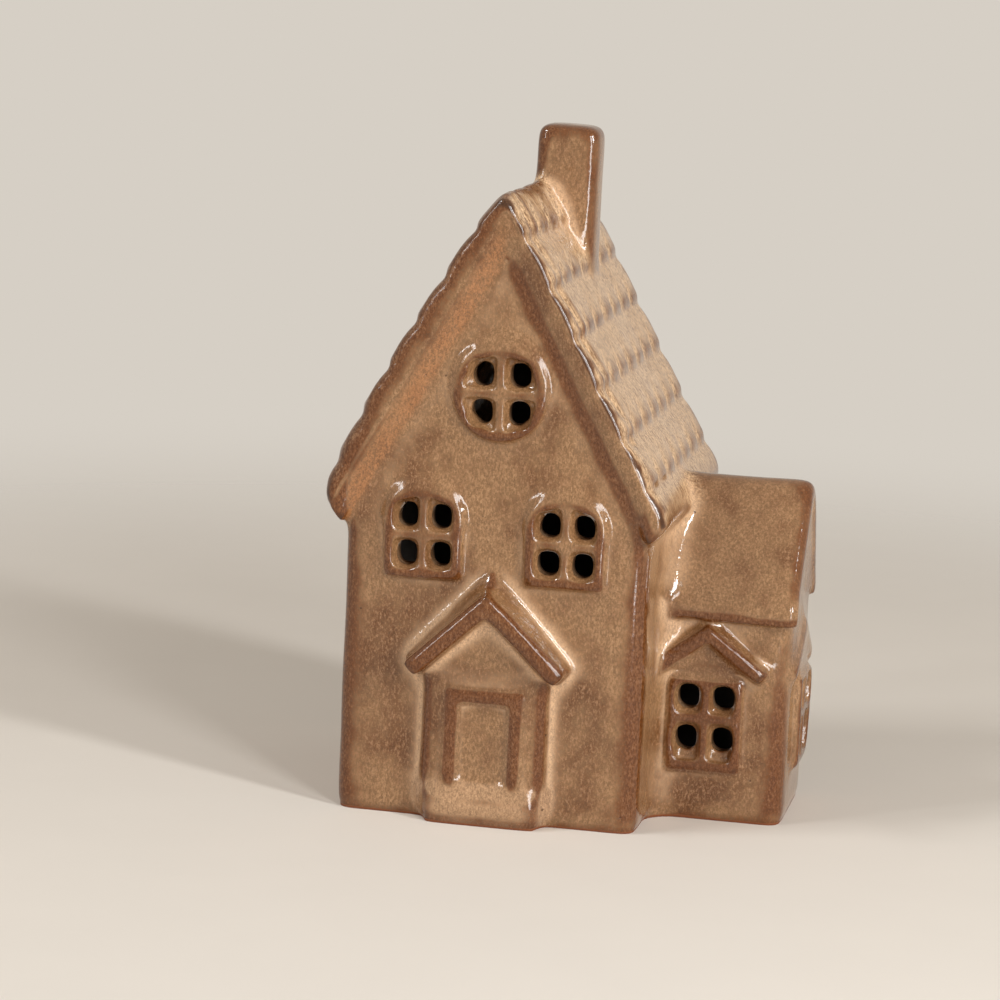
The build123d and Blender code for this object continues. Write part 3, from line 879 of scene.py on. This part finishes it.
def soften(mesh):
    """Shapes the cove and the panes, rounds edges as glaze does, fills hollows and leaves walls uneven.

    Gives back the places where the glaze lies in its own way, by name: how sharply each point stands out (1)
    or lies in a hollow (-1), close to and in its wider place, how far it belongs to the windows, and more,
    among them where shade and light are painted along the roof's right edge and on and under the wing's eave.
    """
    s = settings().sizes
    start = coordinates(mesh)
    facing = normals(mesh)
    relaxer = Relaxer(mesh)

    def blurred(columns, spread):
        return relaxer.relax(np.stack(columns, 1).astype(float), spread, s.voxel)

    panes = pane_walls(start, facing)
    points = hand_cut(coved(start, facing), facing, panes)
    away = distance(start, panes)
    fine_parts = roof_share(start, facing) & (start[:, 1] > front_wall()) | wing_eave(start)
    near_panes = np.clip(2 - 2 * away / s.window_reach, 0, 1)[:, None]
    fine = np.maximum(blurred([fine_parts], s.softness), near_panes)

    crisp = relaxer.relax(points, s.fine_softness, s.voxel)
    broad = relaxer.relax(crisp, s.flow_width, s.voxel)
    move_to(mesh, crisp)
    facing = normals(mesh)

    def stand(smooth, width):
        return ((crisp - smooth) * facing).sum(1) / (STAND_SHARE * width)

    close = stand(relaxer.relax(crisp, s.break_width, s.voxel), s.break_width)
    wide = stand(broad, s.flow_width)
    soft = relaxer.relax(points, s.softness, s.voxel)
    soft += (broad - soft) * np.maximum(blurred([door_step(start)], s.softness), s.slump)
    soft += (crisp - soft) * fine
    move_to(mesh, soft)
    filled = np.maximum(-wide, 0)[:, None] * STAND_SHARE * s.flow_width * (1 - fine)
    soft += normals(mesh) * relaxer.relax(filled, s.softness, s.voxel) * s.pool_share
    foot = start[:, 2] < s.voxel
    soft[foot, 2] = start[foot, 2]
    wave = np.array([noise.noise_vector(Vector(p) * WALL_WAVES) for p in soft])
    fade = np.clip(soft[:, 2] / s.wave_fade, 0, 1)[:, None]
    move_to(mesh, soft + wave * s.waviness * fade)

    window = np.clip(2 - away / s.window_reach, 0, 1)
    marks = [barge_band(start), glaze_run_and_painted_light(start), door_step(start), calm_and_painted_shade_places(start)]
    band, run, step, calm = blurred(marks, s.fine_softness).T
    return {"edge": close, "flow": wide, "window": window,
            "band": band, "run": run, "step": step, "calm": calm}


def glaze_attributes(mesh, places):
    """Writes where the glaze breaks or pools and which part of the house each point belongs to."""
    s = settings().sizes
    points = coordinates(mesh)
    masks = np.stack([inside_share(points), roof_share(points, normals(mesh)), tile_lips(points)], 1)
    inside, roof, lip = Relaxer(mesh).relax(masks.astype(float), 1.5 * s.voxel, s.voxel).T
    places = {**places, "inside": inside, "roof": roof, "lip": lip * roof}
    for name in GLAZE_PLACES:
        layer = mesh.attributes.new(name, "FLOAT", "POINT")
        layer.data.foreach_set("value", places[name].astype(np.float32))


def thinned(mesh):
    """The same skin with fewer triangles on its plain walls."""
    holder = temporary("house_holder", mesh)
    thin = holder.modifiers.new("thin", "DECIMATE")
    mesh.calc_loop_triangles()
    thin.ratio = min(1.0, settings().sizes.triangles / len(mesh.loop_triangles))
    return evaluated_mesh(holder)


class TEALIGHT_OT_house(bpy.types.Operator):
    """Makes the glazed house with its roof tiles"""
    bl_idname = "tealight.house"
    bl_label = "House"

    def execute(self, context):
        material = glazed_stoneware()
        skin = moulded_body(roof_tiles(material))
        glaze_attributes(skin, soften(skin))
        piece("house", thinned(skin), material, "house", "house_shell")
        return {"FINISHED"}


def turned(name, node, profile, segments, reach=lambda turn, height: 0.0):
    """Closed solid of revolution that stands in a CAD node's place.

    The profile holds (radius, height) above the node's foot, and reach moves points outwards.
    """
    weld = settings().sizes.weld
    low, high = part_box(node)
    centre = (low + high) / 2
    body = bmesh.new()
    rings = []
    for radius, height in profile:
        turns = [2 * math.pi * i / segments for i in range(segments if radius else 1)]
        reaches = [radius + reach(turn, height) if radius else 0 for turn in turns]
        places = [(centre.x + r * math.cos(turn), centre.y + r * math.sin(turn), low.z + height)
                  for r, turn in zip(reaches, turns)]
        rings.append([body.verts.new(place) for place in places])
    for below, above in zip(rings, rings[1:]):
        for i in range(segments):
            j = (i + 1) % segments
            corners = [below[i % len(below)], below[j % len(below)],
                       above[j % len(above)], above[i % len(above)]]
            body.faces.new(dict.fromkeys(corners))
    bmesh.ops.remove_doubles(body, verts=body.verts, dist=weld)
    bmesh.ops.recalc_face_normals(body, faces=body.faces)
    return to_mesh(name, body)


def arc(centre, radius, start, end, steps):
    """Points of an arc in the (radius, height) plane, angles in degrees."""
    angles = [math.radians(start + (end - start) * i / steps) for i in range(steps + 1)]
    return [(centre[0] + radius * math.cos(a), centre[1] + radius * math.sin(a)) for a in angles]


def clean_profile(profile):
    """Profile without points that all but repeat their neighbour."""
    least = 0.02 * MM
    kept = [profile[0]]
    for point in profile[1:]:
        if math.dist(point, kept[-1]) > least:
            kept.append(point)
    return kept


def half_width(node):
    low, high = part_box(node)
    return (high.x - low.x) / 2


def tallness(node):
    low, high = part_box(node)
    return high.z - low.z


def cup_profile():
    """Base with a pressed ring, bend, wall, rolled rim, and back down the inside."""
    t = settings().tealight
    tall = tallness("tealight_cup")
    wall = half_width("tealight_cup") - t.wall_inset
    inner_wall = wall - t.sheet
    bend = t.cup_bend
    roll = t.lip / 2
    levels = [tall * k / 10 for k in range(2, 9)]
    profile = [(0, 0)] + [(wall * part, z) for part, z in zip(RING_SHARES, (0, t.base_ring, t.base_ring, 0))]
    profile += arc((wall - bend, bend), bend, -90, 0, 5)
    profile += [(wall, z) for z in levels]
    profile += arc((wall + roll, tall - roll), roll, 81, -150, 7)
    profile += [(inner_wall, tall - t.lip)]
    profile += [(inner_wall, z) for z in reversed(levels)]
    profile += arc((wall - bend, bend + t.sheet / 2), bend - t.sheet, 0, -90, 5)
    profile += [(wall / 2, t.sheet), (0, t.sheet)]
    return clean_profile(profile)


class TEALIGHT_OT_cup(bpy.types.Operator):
    """Makes the drawn aluminium cup with its fluted wall and rolled rim"""
    bl_idname = "tealight.cup"
    bl_label = "Cup"

    def execute(self, context):
        t = settings().tealight
        fluted = tallness("tealight_cup") - t.flute_start - t.flute_end

        def flute(turn, height):
            up = min(max((height - t.flute_start) / fluted, 0), 1)
            return -t.flute_depth * (0.5 + 0.5 * math.cos(t.flutes * turn)) * math.sin(math.pi * up) ** 0.5

        mesh = turned("cup", "tealight_cup", cup_profile(), t.flutes * 6, flute)
        piece("cup", mesh, drawn_aluminium(), "tealight", "tealight_cup")
        return {"FINISHED"}


def wax_profile():
    """Outside, rim, top that climbs at the rim and at the wick, bore, and the room for the tab underneath."""
    t = settings().tealight
    tall = tallness("tealight_wax")
    outer = half_width("tealight_wax") - t.wax_gap
    land = outer - t.rim_land
    bore = half_width("wick") + t.wick_gap
    neck = bore + t.neck_room
    neck_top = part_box("wick_sustainer")[1].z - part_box("tealight_wax")[0].z
    tab = half_width("wick_sustainer") + t.tab_gap
    profile = arc((outer - t.wax_bend, t.wax_bend), t.wax_bend, -90, 0, 4)
    profile += [(outer, tall * k / 6) for k in range(1, 7)]
    profile += [(land, tall - t.rim_drop)]
    steps = 24
    for i in range(1, steps):
        r = land + (bore - land) * i / steps
        at_rim = t.rim_curl * math.exp(-(outer - r) / t.rim_reach)
        at_wick = t.wick_curl * math.exp(-(r - bore) / t.wick_reach)
        profile.append((r, tall - t.wax_dip + at_rim + at_wick))
    profile += [(bore, tall - t.wax_dip + t.wick_curl), (bore, neck_top), (neck, neck_top)]
    return profile + [(neck, t.tab_room), (tab, t.tab_room), (tab, 0), profile[0]]


class TEALIGHT_OT_wax(bpy.types.Operator):
    """Makes the poured wax with its curled edge and the dip round the wick"""
    bl_idname = "tealight.wax"
    bl_label = "Wax"

    def execute(self, context):
        t = settings().tealight
        upper = tallness("tealight_wax") / 2

        def uneven(turn, height):
            return t.wax_waver * math.sin(3 * turn + 1) if height > upper else 0.0

        mesh = turned("wax", "tealight_wax", wax_profile(), 120, uneven)
        piece("wax", mesh, paraffin_wax(), "candle", "tealight_wax")
        return {"FINISHED"}


def braid_tree():
    """Geometry Nodes: three strands twisted round each other into a wick."""
    tree, given = new_tree("wick_braid", [
        (name, "Float") for name in ("Height", "Turns", "Twist radius", "Strand radius")])
    helix = add(tree, "GeometryNodeCurveSpiral", {
        "Resolution": 16, "Rotations": given["Turns"], "Start Radius": given["Twist radius"],
        "End Radius": given["Twist radius"], "Height": given["Height"]})
    section = add(tree, "GeometryNodeCurvePrimitiveCircle", {
        "Resolution": 10, "Radius": given["Strand radius"]})
    strand = add(tree, "GeometryNodeCurveToMesh", {
        "Curve": helix, "Profile Curve": section, "Fill Caps": True})
    joined = add(tree, "GeometryNodeJoinGeometry", {"Geometry": strand})
    for third in (1, 2):
        turn = (0, 0, third * 2 * math.pi / 3)
        other = add(tree, "GeometryNodeTransform", {"Geometry": strand, "Rotation": turn})
        tree.links.new(other.outputs[0], joined.inputs[0])
    return end_tree(tree, joined, given["Material"])


def tab_profile():
    """Disc with a rounded edge, and a neck that holds the wick."""
    t = settings().tealight
    sheet = t.tab_sheet
    edge = sheet / 2
    disc = half_width("wick_sustainer")
    tall = tallness("wick_sustainer")
    neck = half_width("wick") + t.tab_gap
    profile = [(0, 0)] + arc((disc - edge, edge), edge, -90, 90, 6)
    profile += arc((neck + 2 * sheet, 2 * sheet), sheet, -90, -180, 4)
    profile += [(neck + sheet, tall - sheet / 4), (neck + 0.75 * sheet, tall)]
    profile += [(neck, tall), (neck, sheet), (0, sheet)]
    return clean_profile(profile)


class TEALIGHT_OT_wick(bpy.types.Operator):
    """Makes the braided wick and its pressed tab"""
    bl_idname = "tealight.wick"
    bl_label = "Wick"

    def execute(self, context):
        t = settings().tealight
        low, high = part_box("wick")
        tall = tallness("wick")
        material = cotton_wick()
        mesh = grown(braid_tree(), {
            "Height": tall, "Turns": tall / t.twist, "Twist radius": half_width("wick") - t.strand,
            "Strand radius": t.strand, "Material": material})
        mesh.transform(Matrix.Translation(((low.x + high.x) / 2, (low.y + high.y) / 2, low.z)))
        piece("wick_braid", mesh, material, "candle", "wick")
        tab = turned("tab", "wick_sustainer", tab_profile(), 72)
        piece("tab", tab, tinned_steel(), "candle", "wick_sustainer")
        return {"FINISHED"}


# Studio paper: matt, pale and faintly cloudy. Its far edges fade into the background.
def studio_paper():
    s = settings().studio
    material, tree, spot = new_material("studio_paper")
    cloud_size = per_metre(30)
    cloud = add(tree, NOISE, {"Vector": spot, "Scale": cloud_size, "Detail": 3.0})
    cloud_shade = 0.96
    darker = [cloud_shade * part for part in s.floor[:3]] + [1.0]
    tone = add(tree, MIX, {0: cloud, 6: s.floor, 7: darker}, **COLOURS)
    away = add(tree, "ShaderNodeVectorMath", {0: spot}, operation="LENGTH").outputs["Value"]
    solid = add(tree, RANGE, (away, s.floor_reach, s.floor_reach / 4), interpolation_type="SMOOTHERSTEP")
    finish_surface(tree, {"Base Color": tone, "Roughness": 0.85, "Alpha": solid})
    return material


def paper_floor():
    reach = settings().studio.floor_reach
    body = bmesh.new()
    corners = ((-reach, -reach, 0), (reach, -reach, 0), (reach, reach, 0), (-reach, reach, 0))
    body.faces.new([body.verts.new(corner) for corner in corners])
    mesh = to_mesh("backdrop", body)
    mesh.materials.append(studio_paper())
    mesh.shade_smooth()
    temporary("backdrop", mesh)


def studio_world():
    """Weak warm light from all round, and a pale background that the camera and reflections see instead."""
    s = settings().studio
    world = bpy.data.worlds.new("studio")
    world.use_nodes = True
    sky = world.node_tree
    rays = add(sky, "ShaderNodeLightPath")
    share = rays.outputs["Is Camera Ray"]
    for ray in ("Is Glossy Ray", "Is Transmission Ray"):
        share = add(sky, MATH, (share, rays.outputs[ray]), operation="MAXIMUM")
    fill = add(sky, "ShaderNodeBackground", {"Color": s.fill, "Strength": s.fill_strength})
    seen = add(sky, "ShaderNodeBackground", {"Color": s.background, "Strength": 1.0})
    both = add(sky, "ShaderNodeMixShader", (share, fill, seen))
    sky.links.new(both.outputs[0], sky.nodes["World Output"].inputs["Surface"])
    bpy.context.scene.world = world


def lamp(name, place, wide, tall, watts):
    light = bpy.data.lights.new(name, "AREA")
    light.shape = "RECTANGLE"
    light.size = wide
    light.size_y = tall
    light.energy = watts
    aim = Vector(LAMP_TARGET) - Vector(place)
    obj = temporary(name, light)
    obj.matrix_world = Matrix.Translation(place) @ aim.to_track_quat("-Z", "Y").to_matrix().to_4x4()


def photo_camera():
    """Camera at the photograph's angle."""
    s = settings().studio
    data = bpy.data.cameras.new("camera")
    data.sensor_width = s.sensor
    data.lens = s.lens
    data.clip_start = 10 * MM
    camera = temporary("camera", data)
    level = math.cos(s.elevation)
    back = Vector((math.sin(s.azimuth) * level, -math.cos(s.azimuth) * level, math.sin(s.elevation)))
    right = Vector((0, 0, 1)).cross(back).normalized()
    tilted_right = math.cos(s.roll) * right + math.sin(s.roll) * back.cross(right)
    turn = Matrix((tilted_right, back.cross(tilted_right), back)).transposed().to_4x4()
    low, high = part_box("tealight_cup")
    axis = Vector(((low.x + high.x) / 2, (low.y + high.y) / 2, 0))
    camera.matrix_world = Matrix.Translation(axis + Vector(s.look_at) + back * s.distance) @ turn
    bpy.context.scene.camera = camera


class TEALIGHT_OT_stage(bpy.types.Operator):
    """Makes the pale floor, the soft light and the camera"""
    bl_idname = "tealight.stage"
    bl_label = "Stage"

    def execute(self, context):
        paper_floor()
        studio_world()
        for values in LAMPS:
            lamp(*values)
        photo_camera()
        context.scene.view_settings.view_transform = "Standard"
        return {"FINISHED"}


class TealightHouse(bpy.types.PropertyGroup):
    """All settings of the tealight house"""
    sizes: PointerProperty(type=HouseSizes, name="Sizes", description="Surface and roof")
    glaze: PointerProperty(type=GlazeColours, name="Glaze", description="Glaze colours")
    tealight: PointerProperty(type=TealightSizes, name="Tealight", description="Tealight sizes")
    studio: PointerProperty(type=StudioSettings, name="Studio", description="Camera and light")


GROUPS = (HouseSizes, GlazeColours, TealightSizes, StudioSettings, TealightHouse)
OPERATORS = (TEALIGHT_OT_house, TEALIGHT_OT_cup, TEALIGHT_OT_wax, TEALIGHT_OT_wick, TEALIGHT_OT_stage)


class TEALIGHT_PT_panel(bpy.types.Panel):
    """Lists the makers of the pieces"""
    bl_idname = "TEALIGHT_PT_panel"
    bl_label = "Tealight house"
    bl_space_type = "VIEW_3D"
    bl_region_type = "UI"
    bl_category = "Tealight house"

    def draw(self, context):
        for maker in OPERATORS:
            self.layout.operator(maker.bl_idname)


CLASSES = GROUPS + OPERATORS + (TEALIGHT_PT_panel,)


def register():
    for item in CLASSES:
        bpy.utils.register_class(item)
    bpy.types.Scene.tealight_house = PointerProperty(type=TealightHouse)


def unregister():
    del bpy.types.Scene.tealight_house
    for item in reversed(CLASSES):
        bpy.utils.unregister_class(item)


def main():
    register()
    bpy.ops.tealight.stage()
    bpy.ops.tealight.house()
    bpy.ops.tealight.cup()
    bpy.ops.tealight.wax()
    bpy.ops.tealight.wick()
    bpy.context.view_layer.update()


if __name__ == "__main__":
    main()
